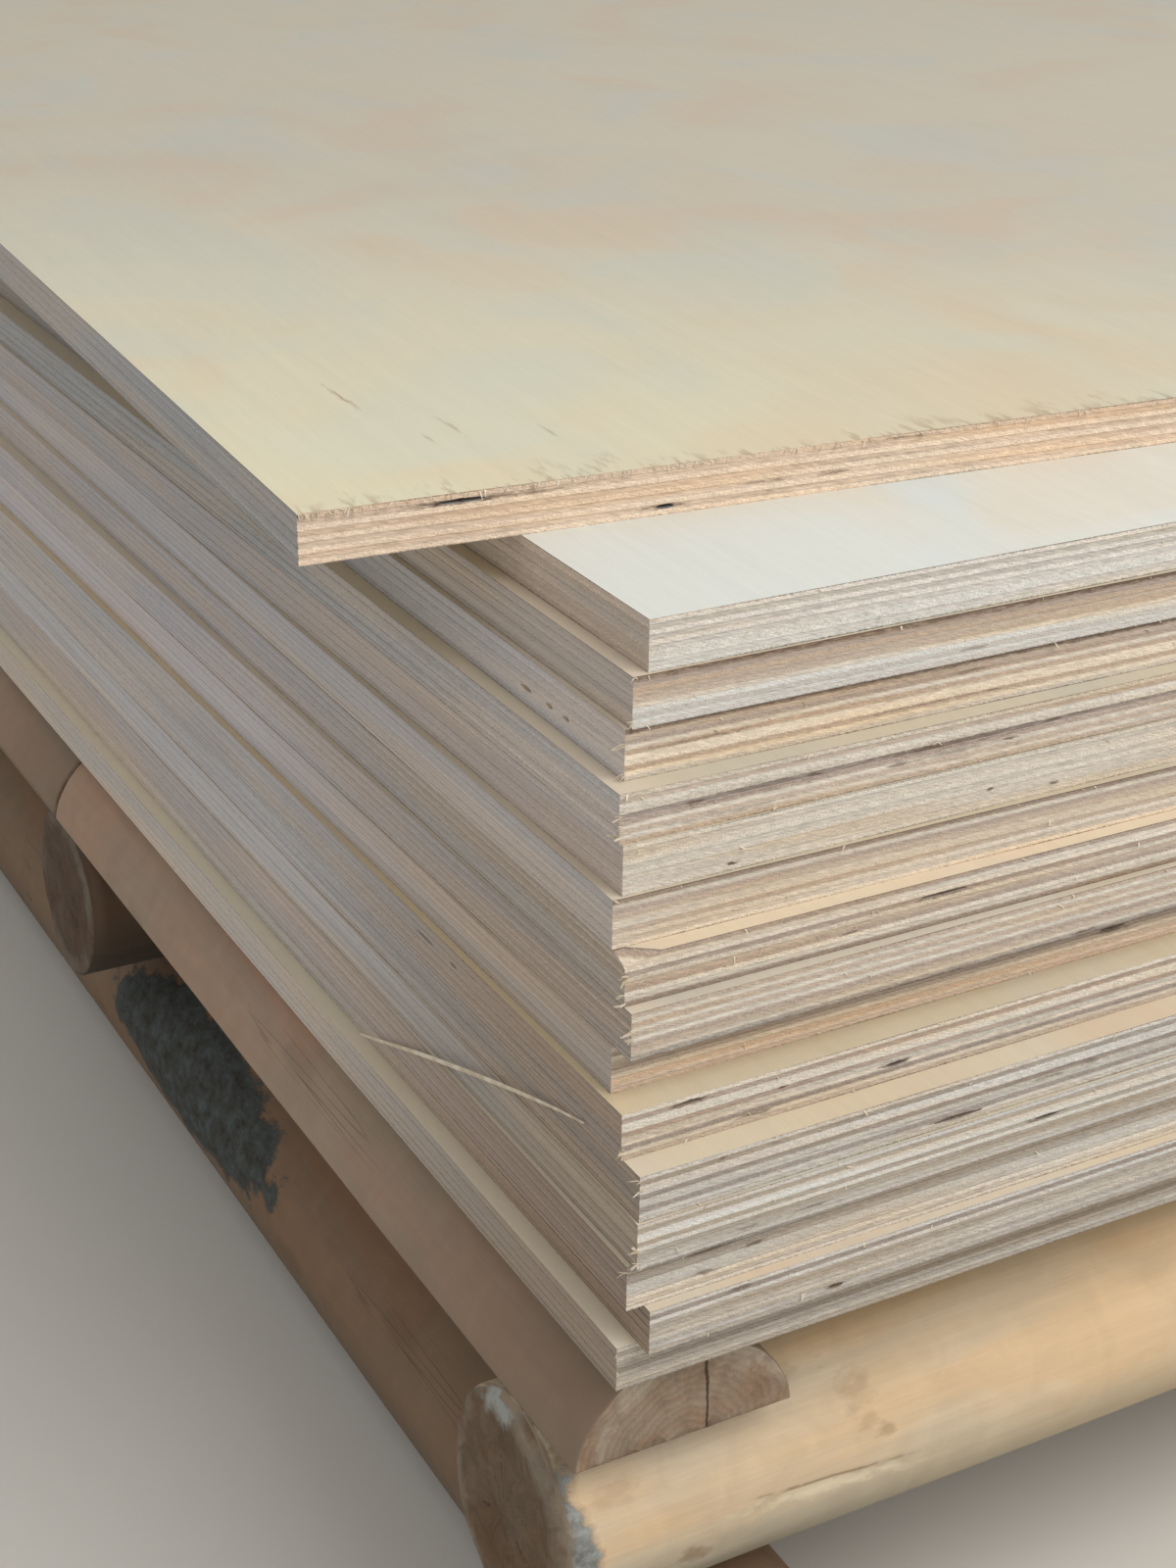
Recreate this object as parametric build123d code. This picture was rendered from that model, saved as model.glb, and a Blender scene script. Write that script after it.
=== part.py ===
"""A stack of plywood sheets, laid by hand on a crib of peeled and halved logs.

Millimetres. +X runs along the short front edge, +Y back along the long edge and +Z up.
The stack is drawn from the front left corner that the squared sheets share, at floor
level, and is then moved so that the origin is the middle of its box, on the floor.
"""

import os

from build123d import *

# Sheets of plywood
SHEET_WIDTH = 1220.0
SHEET_LENGTH = 2440.0
SHEET_THICKNESS = 18.0
# Across the grain a veneer planes back a little further than along it.
CROSS_VENEER_SETBACK = 0.2

# Veneers from the face down: F has its grain along the sheet and C has it across.
NINE_PLY = "FCFCFCFCF"
TEN_PLY = "FCFCFCFFCF"
TEN_PLY_TURNED = TEN_PLY[::-1]
TEN_PLY_EVEN = "FCFCFFCFCF"

# The sheets from the top down: veneers, how far the front left corner lies to the right
# of and behind the squared corner, and the turn in degrees as seen from above.
SHEETS = (
    (NINE_PLY, -64.0, 111.0, -3.45),
    (TEN_PLY, 15.0, 18.0, -0.2),
    (TEN_PLY, 9.0, 17.0, -0.3),
    (TEN_PLY, 7.0, 18.0, -0.3),
    (TEN_PLY_TURNED, 1.0, 10.0, 0.0),
    (TEN_PLY_TURNED, 2.0, 9.0, 0.2),
    (TEN_PLY_TURNED, -2.0, 8.0, -0.3),
    (TEN_PLY, -1.0, 1.0, 0.0),
    (TEN_PLY, -1.0, -4.0, 0.5),
    (TEN_PLY_TURNED, -2.0, 7.0, 0.4),
    (TEN_PLY_TURNED, -5.0, -6.0, 0.4),
    (TEN_PLY_TURNED, -4.0, -17.0, 0.3),
    (TEN_PLY_TURNED, -5.0, -18.0, 0.2),
    (TEN_PLY_EVEN, -7.0, -15.0, 0.0),
    (TEN_PLY, 0.0, -19.0, 0.1),
    (TEN_PLY_TURNED, -8.0, -11.0, 0.0),
)

# Open voids in the core, as left by a knot that fell out or strips that don't meet: sheet
# number, veneer counted from the face, side it shows on, distance of its middle from the
# front left corner along that side, and its width.
CORE_GAPS = (
    (1, 2, "front", 58.0, 17.0),
    (1, 8, "front", 134.0, 7.0),
    (8, 4, "front", 126.0, 20.0),
    (10, 5, "front", 212.0, 12.0),
    (11, 2, "front", 26.0, 9.0),
    (11, 7, "front", 110.0, 8.0),
    (12, 9, "front", 130.0, 21.0),
    (13, 5, "front", 170.0, 10.0),
    (15, 9, "front", 76.0, 6.0),
    (4, 7, "left", 40.0, 5.0),
    (4, 7, "left", 52.0, 5.0),
    (4, 7, "left", 69.0, 9.0),
    (11, 4, "left", 126.0, 6.0),
    (11, 4, "left", 150.0, 15.0),
)
CORE_GAP_DEPTH = 7.0
# A gap is a little lower than its veneer, because the glue draws the next ones in.
CORE_GAP_HEIGHT = 0.9

# The front left corner of one sheet is knocked off at the top: sheet number, and how far
# the break runs along the front edge, back along the side and down.
BROKEN_CORNER = (8, 14.0, 10.0, 4.0)

# Logs of the crib, peeled and all from poles of one size
LOG_DIAMETER = 95.0
# Curved faces that rest on each other keep this much clearance.
SEAT_CLEARANCE = 0.3

# Bearers are half logs under the sheets, laid end to end with the sawn face down.
BEARER_HEIGHT = 40.5
BEARER_INSET = 27.5
BEARER_JOINT_GAP = 3.0
FIRST_BEARER_LENGTH = 600.0

# Cross logs lie under the bearers, one at each end and one under each joint.
CROSS_LOG_INSET = 45.0
CROSS_LOG_OVERHANG = 27.0
# The logs are cut to length but not squared up: how far each lies further to the right.
CROSS_LOG_SHIFTS = (0.0, 9.0, -8.0, 16.0, -12.0)

# Floor logs run the length of the stack under the cross logs.
FLOOR_LOG_INSET = 60.0
FLOOR_LOG_OVERHANG = 30.0
# How far each lies further back, from the left row to the right one
FLOOR_LOG_SHIFTS = (0.0, 14.0, 6.0)

LOG_RADIUS = LOG_DIAMETER / 2
FLOOR_LOG_AXIS_Z = LOG_RADIUS
CROSS_LOG_AXIS_Z = FLOOR_LOG_AXIS_Z + LOG_DIAMETER + SEAT_CLEARANCE
BEARER_FOOT_Z = CROSS_LOG_AXIS_Z + LOG_RADIUS + SEAT_CLEARANCE
STACK_FOOT_Z = BEARER_FOOT_Z + BEARER_HEIGHT + SEAT_CLEARANCE

CROSS_LOG_YS = (
    CROSS_LOG_INSET,
    FIRST_BEARER_LENGTH,
    SHEET_LENGTH / 2,
    SHEET_LENGTH - FIRST_BEARER_LENGTH,
    SHEET_LENGTH - CROSS_LOG_INSET,
)


def row_positions(inset):
    """Places across the stack for the left, middle and right rows."""
    return {
        "left": inset,
        "middle": SHEET_WIDTH / 2,
        "right": SHEET_WIDTH - inset,
    }


def sheet_solid(veneers):
    """One sheet with its front left bottom corner at the origin, face up."""
    ply = SHEET_THICKNESS / len(veneers)
    corner = (Align.MIN, Align.MIN, Align.MIN)
    back = CROSS_VENEER_SETBACK
    core = Box(SHEET_WIDTH - 2 * back, SHEET_LENGTH - 2 * back, SHEET_THICKNESS, align=corner)
    solid = Pos(back, back, 0) * core
    for number, grain in enumerate(veneers, start=1):
        if grain == "F":
            veneer = Box(SHEET_WIDTH, SHEET_LENGTH, ply, align=corner)
            solid += Pos(0, 0, SHEET_THICKNESS - number * ply) * veneer
    return solid


def core_gap(veneers, number, side, along, width):
    """The space of one void in the core, in the frame of its sheet."""
    ply = SHEET_THICKNESS / len(veneers)
    middle_z = SHEET_THICKNESS - (number - 0.5) * ply
    mouth = Plane.XZ * Ellipse(width / 2, CORE_GAP_HEIGHT * ply / 2)
    gap = extrude(mouth, amount=CORE_GAP_DEPTH, both=True)
    if side == "front":
        return Pos(along, 0, middle_z) * gap
    return Pos(0, along, middle_z) * Rot(0, 0, 90) * gap


def break_plane(along, back, down):
    """The plane of a broken corner, facing the rest of its sheet."""
    front_end = Vector(along, 0, SHEET_THICKNESS)
    side_end = Vector(0, back, SHEET_THICKNESS)
    low_end = Vector(0, 0, SHEET_THICKNESS - down)
    inward = (low_end - front_end).cross(side_end - front_end)
    return Plane(origin=front_end, x_dir=side_end - front_end, z_dir=inward)


def laid_sheet(index):
    """A sheet of the stack in its place, where index 0 is the top one."""
    veneers, right, behind, turn = SHEETS[index]
    solid = sheet_solid(veneers)
    for sheet, number, side, along, width in CORE_GAPS:
        if sheet == index + 1:
            solid -= core_gap(veneers, number, side, along, width)
    broken, *break_sizes = BROKEN_CORNER
    if broken == index + 1:
        solid = split(solid, bisect_by=break_plane(*break_sizes), keep=Keep.TOP)
    foot = STACK_FOOT_Z + (len(SHEETS) - 1 - index) * SHEET_THICKNESS
    return Pos(right, behind, foot) * Rot(0, 0, turn) * solid


def log_solid(length):
    """A round log along +X from the origin."""
    upright = Cylinder(LOG_RADIUS, length, align=(Align.CENTER, Align.CENTER, Align.MIN))
    return Rot(0, 90, 0) * upright


def half_log_solid(length):
    """A half log along +X from the origin, sawn face down and level with z = 0."""
    kept = Box(length, LOG_DIAMETER, BEARER_HEIGHT, align=(Align.MIN, Align.CENTER, Align.MIN))
    return (Pos(0, 0, BEARER_HEIGHT - LOG_RADIUS) * log_solid(length)) & kept


def bearer_spans():
    """Front and back end of each bearer piece in a row."""
    joints = CROSS_LOG_YS[1:-1]
    half_gap = BEARER_JOINT_GAP / 2
    starts = [0.0] + [joint + half_gap for joint in joints]
    ends = [joint - half_gap for joint in joints] + [SHEET_LENGTH]
    return list(zip(starts, ends))


def bearers():
    """The half logs that the lowest sheet lies on, as name and solid."""
    named = {}
    for row, x in row_positions(BEARER_INSET).items():
        for number, (start, end) in enumerate(bearer_spans(), start=1):
            place = Pos(x, start, BEARER_FOOT_Z) * Rot(0, 0, 90)
            named[f"bearer_{row}_{number}"] = place * half_log_solid(end - start)
    return named


def cross_logs():
    """The round logs across the stack, as name and solid."""
    log = log_solid(SHEET_WIDTH + 2 * CROSS_LOG_OVERHANG)
    named = {}
    for number, (y, shift) in enumerate(zip(CROSS_LOG_YS, CROSS_LOG_SHIFTS), start=1):
        named[f"cross_log_{number}"] = Pos(shift - CROSS_LOG_OVERHANG, y, CROSS_LOG_AXIS_Z) * log
    return named


def floor_logs():
    """The round logs that lie on the floor, as name and solid."""
    log = log_solid(SHEET_LENGTH + 2 * FLOOR_LOG_OVERHANG)
    named = {}
    for (row, x), shift in zip(row_positions(FLOOR_LOG_INSET).items(), FLOOR_LOG_SHIFTS):
        place = Pos(x, shift - FLOOR_LOG_OVERHANG, FLOOR_LOG_AXIS_Z) * Rot(0, 0, 90)
        named[f"floor_log_{row}"] = place * log
    return named


def stack():
    """Every piece of the stack in its place, as name and solid."""
    named = {f"sheet_{index + 1:02d}": laid_sheet(index) for index in range(len(SHEETS))}
    named.update(bearers())
    named.update(cross_logs())
    named.update(floor_logs())
    return named


def centred(named):
    """The pieces moved so that the middle of their box, on the floor, is the origin."""
    boxes = [solid.bounding_box() for solid in named.values()]
    middle_x = (min(box.min.X for box in boxes) + max(box.max.X for box in boxes)) / 2
    middle_y = (min(box.min.Y for box in boxes) + max(box.max.Y for box in boxes)) / 2
    return {name: Pos(-middle_x, -middle_y, 0) * solid for name, solid in named.items()}


os.makedirs("parts", exist_ok=True)
for name, solid in centred(stack()).items():
    export_step(solid, f"parts/{name}.step")
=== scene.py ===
"""Looks of a stack of plywood sheets that lies on a crib of halved and round logs.

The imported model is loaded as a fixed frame. The sheets keep their own solids and get
their veneers, grain and saw marks here. Detailed logs stand for the plain ones, and loose
fibres, chips and a long sliver are added. Everything is in metres.
"""

import inspect
import math
import random
from collections import namedtuple

import bmesh
import bpy
from mathutils import Matrix, Vector, noise


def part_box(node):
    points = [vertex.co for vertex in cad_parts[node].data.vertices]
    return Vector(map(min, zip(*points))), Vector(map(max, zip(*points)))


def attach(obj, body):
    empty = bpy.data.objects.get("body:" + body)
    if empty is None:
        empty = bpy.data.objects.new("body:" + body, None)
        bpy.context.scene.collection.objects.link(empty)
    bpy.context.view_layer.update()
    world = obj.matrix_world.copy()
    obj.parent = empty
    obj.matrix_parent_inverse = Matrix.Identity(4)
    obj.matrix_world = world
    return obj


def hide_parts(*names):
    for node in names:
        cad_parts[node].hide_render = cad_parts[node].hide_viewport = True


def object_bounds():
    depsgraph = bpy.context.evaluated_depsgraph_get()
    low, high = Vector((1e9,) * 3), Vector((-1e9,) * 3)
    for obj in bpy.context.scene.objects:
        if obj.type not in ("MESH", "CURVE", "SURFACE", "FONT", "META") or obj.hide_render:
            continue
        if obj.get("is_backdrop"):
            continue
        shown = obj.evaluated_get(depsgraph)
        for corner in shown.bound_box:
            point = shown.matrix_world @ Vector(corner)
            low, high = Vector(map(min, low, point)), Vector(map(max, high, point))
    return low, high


bl_info = {
    "name": "Plywood stack",
    "version": (1, 0, 0),
    "blender": (4, 5, 0),
    "location": "3D View > Sidebar > Plywood",
    "description": "Finishes a stack of plywood sheets on a crib of logs",
    "category": "Object",
}

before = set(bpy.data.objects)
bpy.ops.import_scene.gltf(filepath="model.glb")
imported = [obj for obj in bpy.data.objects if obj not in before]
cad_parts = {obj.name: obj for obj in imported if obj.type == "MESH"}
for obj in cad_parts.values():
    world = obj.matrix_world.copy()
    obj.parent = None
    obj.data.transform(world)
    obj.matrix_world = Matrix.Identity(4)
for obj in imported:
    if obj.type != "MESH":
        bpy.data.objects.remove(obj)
CAD_LOW, CAD_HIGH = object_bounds()
BODY = "root"
MM = 0.001


def linear(*screen):
    """A colour written as 0 to 255 on a screen, as Blender's nodes take it."""
    shares = [value / 255 for value in screen]
    return (*(part / 12.92 if part <= 0.04045 else ((part + 0.055) / 1.055) ** 2.4 for part in shares), 1.0)


# Tones of the veneers on the front edges, by letter
TONES = {
    "w": (217, 210, 201), "v": (211, 209, 203), "l": (203, 198, 191), "m": (191, 185, 174),
    "g": (192, 186, 178), "a": (173, 165, 154), "u": (160, 152, 142), "h": (140, 131, 119),
    "d": (154, 143, 134), "n": (172, 159, 149), "y": (211, 203, 190), "z": (197, 189, 176),
    "i": (215, 205, 190), "s": (203, 193, 178), "p": (230, 209, 186), "e": (215, 192, 169),
    "c": (226, 211, 190), "k": (188, 172, 155), "o": (186, 165, 145), "t": (173, 157, 144),
    "b": (153, 136, 121),
}

SheetLook = namedtuple("SheetLook", "tones flecks near far face warm cool")

# Each sheet from the top down: its veneers' tones on the front edge, with a capital where the
# grain runs across the sheet, how far they are flecked, the tones of the long edges near the
# front corner and further back, whose change is painted light and shade along the edge, and
# those of the face: its own, warm patches and cool ones.
SHEET_LOOKS = [SheetLook(*row) for row in (
    ("eEpEpEpEp", 0.6, (177, 176, 171), (183, 181, 175), (211, 203, 174), (213, 194, 161), (203, 202, 180)),
    ("wMwGwLvvLv", 0.2, (200, 189, 174), (168, 166, 158), (212, 212, 204), (214, 203, 184), (205, 211, 208)),
    # The dark first veneer of sheets 3, 4 and 7 is painted shadow under the sheet above.
    ("bToKkIvgVl", 0.4, (200, 189, 174), (164, 162, 156), (196, 184, 162), (188, 170, 146), (190, 182, 166)),
    ("bKtIoCcoCs", 0.6, (212, 207, 200), (166, 163, 155), (196, 184, 162), (190, 170, 144), (190, 182, 166)),
    ("sKysDtIkYk", 1, (200, 194, 185), (175, 174, 168), (198, 188, 166), (192, 174, 148), (190, 184, 168)),
    ("yZsyZySzSy", 0.2, (198, 188, 177), (184, 180, 175), (196, 186, 166), (188, 172, 150), (188, 184, 170)),
    ("bStkSsKiSc", 0.3, (204, 197, 187), (195, 192, 188), (194, 182, 158), (188, 168, 142), (188, 182, 166)),
    ("tYiTsKtiSb", 0.5, (183, 174, 160), (188, 183, 178), (219, 202, 175), (220, 194, 166), (212, 202, 184)),
    ("kYkYkYtkSu", 0.3, (181, 170, 156), (194, 190, 187), (198, 188, 170), (190, 174, 152), (190, 186, 172)),
    ("sTskTkCePe", 0.4, (192, 180, 164), (206, 200, 195), (194, 178, 154), (190, 168, 140), (188, 180, 164)),
    ("iTyyTmIdYk", 0.7, (169, 155, 139), (193, 190, 184), (206, 192, 165), (200, 179, 150), (200, 194, 178)),
    ("lUllDmGdLm", 0.8, (165, 153, 137), (197, 194, 188), (210, 196, 170), (210, 186, 160), (204, 196, 178)),
    ("lAlvAvAaMg", 0.6, (173, 164, 148), (206, 202, 195), (198, 188, 168), (192, 172, 148), (192, 188, 174)),
    ("nAuAmgMiSi", 0.6, (157, 143, 129), (193, 185, 176), (194, 182, 162), (188, 168, 144), (188, 184, 170)),
    ("lDlAaMgaGa", 0.5, (159, 143, 125), (205, 197, 184), (211, 195, 171), (209, 183, 158), (204, 196, 180)),
    ("mAmaUhAaMa", 0.2, (165, 153, 137), (205, 197, 183), (206, 196, 168), (200, 184, 152), (198, 192, 174)),
)]

# Darker places on the front edges, such as small knots, torn grain and the rims of gaps, and
# the long shadow lines where sheets meet. Each is millimetres along the edge, share of the
# thickness down from the face, half the width in millimetres, half the height as a share,
# and how dark.
SHEET_MARKS = {
    1: ((66, 0.17, 44, 0.05, 0.6), (56, 0.17, 17, 0.06, 1), (134, 0.83, 10, 0.06, 0.7),
        (176, 0.61, 12, 0.04, 0.5), (201, 0.61, 8, 0.045, 0.6), (232, 0.08, 14, 0.03, 0.6)),
    3: ((300, 0, 420, 0.11, 0.8), (133, 0.76, 7, 0.05, 0.4)),
    4: ((300, 0, 420, 0.11, 0.7), (28, 0.46, 26, 0.04, 0.4), (132, 0.25, 8, 0.04, 0.5),
        (118, 0.74, 34, 0.03, 0.35), (145, 0.74, 4, 0.03, 0.6)),
    5: ((28, 0.48, 5, 0.05, 0.8), (56, 0.47, 34, 0.10, 0.42), (74, 0.48, 5, 0.05, 0.8),
        (138, 0.46, 44, 0.10, 0.46), (120, 0.46, 10, 0.05, 0.8), (172, 0.45, 5, 0.05, 0.8),
        (186, 0.43, 9, 0.05, 0.5), (108, 0.66, 5, 0.05, 0.7), (134, 0.65, 26, 0.045, 0.5),
        (154, 0.63, 4, 0.04, 0.8)),
    6: ((41, 0.86, 3, 0.035, 1), (146, 0.63, 1.8, 0.06, 0.8), (174, 0.82, 2.6, 0.05, 0.8)),
    7: ((300, 0, 420, 0.06, 0.3),),
    8: ((126, 0.36, 14, 0.06, 0.8), (88, 0.68, 4, 0.04, 0.6)),
    9: ((300, 1, 420, 0.06, 0.5), (188, 0.93, 7, 0.04, 0.7)),
    10: ((200, 0.37, 8, 0.04, 0.6), (212, 0.50, 9, 0.06, 0.7)),
    11: ((26, 0.15, 8, 0.06, 0.9), (63, 0.42, 2, 0.04, 0.9), (110, 0.63, 7, 0.06, 0.9),
        (52, 0.83, 9, 0.05, 0.6)),
    12: ((32, 0.14, 2, 0.05, 0.7), (130, 0.82, 13, 0.05, 0.8), (188, 0.50, 4, 0.07, 0.5),
        (170, 0.56, 8, 0.04, 0.5)),
    13: ((170, 0.44, 8, 0.06, 0.8), (70, 0.82, 10, 0.045, 0.5), (44, 0.82, 5, 0.045, 0.5)),
    14: ((300, 0, 420, 0.05, 0.3), (33, 0.20, 12, 0.05, 0.7), (50, 0.37, 5, 0.05, 0.7),
        (31, 0.68, 6, 0.05, 0.6)),
    15: ((36, 0.13, 5, 0.07, 0.6), (76, 0.83, 5, 0.06, 0.8)),
}

# Node trees


def arithmetic(operation, swapped=False):
    """A method that adds one node of arithmetic."""
    def step(*values):
        return values[0].net.math(operation, *(reversed(values) if swapped else values))
    return step


class Flow:
    """What runs from one node to the next, with plain arithmetic."""

    def __init__(self, net, socket):
        self.net = net
        self.socket = socket

    __add__ = arithmetic("ADD")
    __sub__ = arithmetic("SUBTRACT")
    __rsub__ = arithmetic("SUBTRACT", swapped=True)
    __mul__ = arithmetic("MULTIPLY")
    __truediv__ = arithmetic("DIVIDE")
    __gt__ = arithmetic("GREATER_THAN")
    __lt__ = arithmetic("LESS_THAN")
    __abs__ = arithmetic("ABSOLUTE")

    def remap(self, low, high, to_low=0, to_high=1, kind="LINEAR"):
        """The value moved from one range to another and kept inside it."""
        ends = {"Value": self, "From Min": low, "From Max": high, "To Min": to_low, "To Max": to_high}
        return self.net.out("MapRange", ends, interpolation_type=kind)

    def ease(self, low, high, to_low=0, to_high=1):
        """The same with a smooth start and end."""
        return self.remap(low, high, to_low, to_high, "SMOOTHSTEP")


class Net:
    """Short calls that add and join the nodes of one tree."""

    def __init__(self, tree):
        self.tree = tree

    def feed(self, socket, value):
        """A value or another node's output goes into a socket."""
        if isinstance(value, Flow):
            self.tree.links.new(value.socket, socket)
        else:
            socket.default_value = value

    def node(self, kind, inputs=None, **settings):
        """One node with its settings and inputs."""
        made = self.tree.nodes.new("ShaderNode" + kind)
        for key, value in settings.items():
            setattr(made, key, value)
        for key, value in (inputs or {}).items():
            self.feed(made.inputs[key], value)
        return made

    def out(self, kind, inputs=None, output=0, **settings):
        """One output of a new node."""
        return Flow(self, self.node(kind, inputs, **settings).outputs[output])

    def math(self, operation, *values, clamp=False):
        """One step of arithmetic."""
        return self.out("Math", dict(enumerate(values)), operation=operation, use_clamp=clamp)

    def choose(self, factor, first, second):
        """A number between two numbers."""
        return self.out("Mix", {0: factor, 2: first, 3: second}, data_type="FLOAT")

    def blend(self, factor, first, second, kind="MIX"):
        """A colour between two colours."""
        return self.out("Mix", {0: factor, 6: first, 7: second}, 2, data_type="RGBA", blend_type=kind)

    def tint(self, colour, other, factor=1):
        """A colour multiplied by another."""
        return self.blend(factor, colour, other, "MULTIPLY")

    def shade(self, colour, value):
        """A colour made lighter or darker by a number about 1."""
        return self.tint(colour, self.out("CombineColor", {0: value, 1: value, 2: value}))

    def point(self, x, y, z=0):
        """A place for a texture, from three numbers."""
        return self.out("CombineXYZ", {0: x, 1: y, 2: z})

    def split(self, place):
        """The three numbers of a place."""
        return [Flow(self, socket) for socket in self.node("SeparateXYZ", {0: place}).outputs]

    def reach(self, x, y):
        """How far a place in a plane is from the middle."""
        return self.out("VectorMath", {0: self.point(x, y)}, "Value", operation="LENGTH")

    def noise(self, place, detail=1, roughness=0.5, distortion=0, scale=1):
        """Smooth noise from 0 to 1 at a place, which may be given as numbers."""
        inputs = {
            "Vector": self.point(*place) if isinstance(place, tuple) else place,
            "Scale": scale, "Detail": detail, "Roughness": roughness, "Distortion": distortion,
        }
        return self.out("TexNoise", inputs)

    def surface(self, colour, roughness, specular=0.5, relief=None, strength=0.5, depth=MM):
        """The shader of a material, with its relief."""
        inputs = {"Base Color": colour, "Roughness": roughness, "Specular IOR Level": specular}
        if relief is not None:
            inputs["Normal"] = self.out("Bump", {"Height": relief, "Strength": strength, "Distance": depth})
        self.node("OutputMaterial", {"Surface": self.out("BsdfPrincipled", inputs)})


def new_material(name):
    """A material without nodes, and its net."""
    material = bpy.data.materials.new(name)
    material.use_nodes = True
    material.node_tree.nodes.clear()
    return material, Net(material.node_tree)


SURFACE = ("Color", "Bump", "Roughness")


def node_group(*outputs):
    """Makes a function that fills a node group into one that puts this group in a tree.

    The function's parameters after the net are the group's inputs, and are numbers unless
    they say otherwise. The group is made when it is first used. Its outputs come back.
    """
    def wrap(fill):
        title = fill.__name__.replace("_", " ").capitalize()
        keys = [*inspect.signature(fill).parameters][1:]
        labels = {key: key.replace("_", " ").capitalize() for key in keys}

        def new_group():
            tree = bpy.data.node_groups.new(title, "ShaderNodeTree")
            for key, label in labels.items():
                kind = "NodeSocket" + fill.__annotations__.get(key, "Float")
                tree.interface.new_socket(label, in_out="INPUT", socket_type=kind)
            for label in outputs:
                kind = "NodeSocketColor" if label == "Color" else "NodeSocketFloat"
                tree.interface.new_socket(label, in_out="OUTPUT", socket_type=kind)
            net = Net(tree)
            given = tree.nodes.new("NodeGroupInput").outputs
            give = tree.nodes.new("NodeGroupOutput").inputs
            results = fill(net, *(Flow(net, given[label]) for label in labels.values()))
            for label, result in zip(outputs, results):
                net.feed(give[label], result)
            return tree

        def use(net, *values, **named):
            inputs = dict(enumerate(values))
            inputs.update({labels[key]: value for key, value in named.items()})
            tree = bpy.data.node_groups.get(title) or new_group()
            made = net.node("Group", inputs, node_tree=tree)
            return [Flow(net, socket) for socket in made.outputs]

        return use
    return wrap


# Groups of the plywood


@node_group("Face", "Ends", "Near", "Run", "Height")
def sheet_parts(net, place: "Vector", normal: "Vector", thickness):
    """Which face of a sheet a point is on, and how far along that face."""
    x, y, z = net.split(place)
    aside, ahead, level = (abs(part) for part in net.split(normal))
    skin = 0.05 * MM
    face = (level > 0.5) * net.math("MAXIMUM", z > thickness - skin, z < skin)
    ends = ahead > aside
    return face, ends, y < 0.5, net.choose(ends, y, x), z


@node_group("Depth")
def veneer_lines(net, run, height, thickness, seed, sway):
    """How far down through the sheet a point is, from 0 to 1, with the veneers swaying."""
    level = height / thickness
    slow = net.noise((run, seed), 2, scale=9) - 0.5
    fine = (net.noise((run, seed + level), scale=45) - 0.5) * 0.5
    grit = (net.noise((run * 700, height * 900)) - 0.5) * 2.4
    return [(slow + fine + grit) * sway + (1 - level)]


@node_group(*SURFACE)
def sawn_edge(net, tone: "Color", along, run, height, seed, flecks, saw_marks, drift):
    """Grain, flecks and saw marks on a sawn edge, over the plain tone of its veneers."""
    def texture(run_scale, height_scale, shift=0, detail=1, roughness=0.5):
        return net.noise((run * run_scale, height * height_scale, seed + shift), detail, roughness)

    streak = texture(120, 2200, detail=2, roughness=0.7)
    pore = texture(1400, 1900, roughness=0.6)
    speck = net.choose(along, pore, streak)
    shade = (speck - 0.5) * net.choose(along, 0.85, 0.9) + 1
    band = texture(7, 380, 1.3)
    slanted = run * 0.3 + height
    tooth = net.noise((run * 240, slanted * 2100, seed), roughness=0.6)
    mark = (tooth - 0.5) * saw_marks
    shade = shade * band.remap(0.25, 0.75, 0.93, 1.06) * (mark * 1.25 + 1)
    warmth = texture(7, 170, 2.1).ease(0.42, 0.72) * drift
    patch = texture(13, 330, 3.7).remap(0.5, 0.66, 0, 0.7)
    grit = texture(260, 700, 4.9, 2, 0.65).remap(0.36, 0.66, 0.1, 1)
    fleck = net.math("MULTIPLY", patch * grit, flecks, clamp=True) * along
    colour = net.shade(net.tint(tone, linear(255, 238, 214), warmth), shade)
    colour = net.blend(fleck, colour, linear(122, 98, 84))
    return colour, pore * 0.6 + mark * 1.1, speck.remap(0.2, 0.8, 0.92, 0.78)


@node_group("Mask")
def smudge(net, run, depth, ragged, along, level, half, tall, dark):
    """How far a place on a surface lies inside one ragged mark."""
    reach = (ragged - 0.5) * 2.4 + net.reach((run - along) / half, (depth - level) / tall)
    return [reach.remap(0.4, 1.1, 1, 0) * dark]


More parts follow.
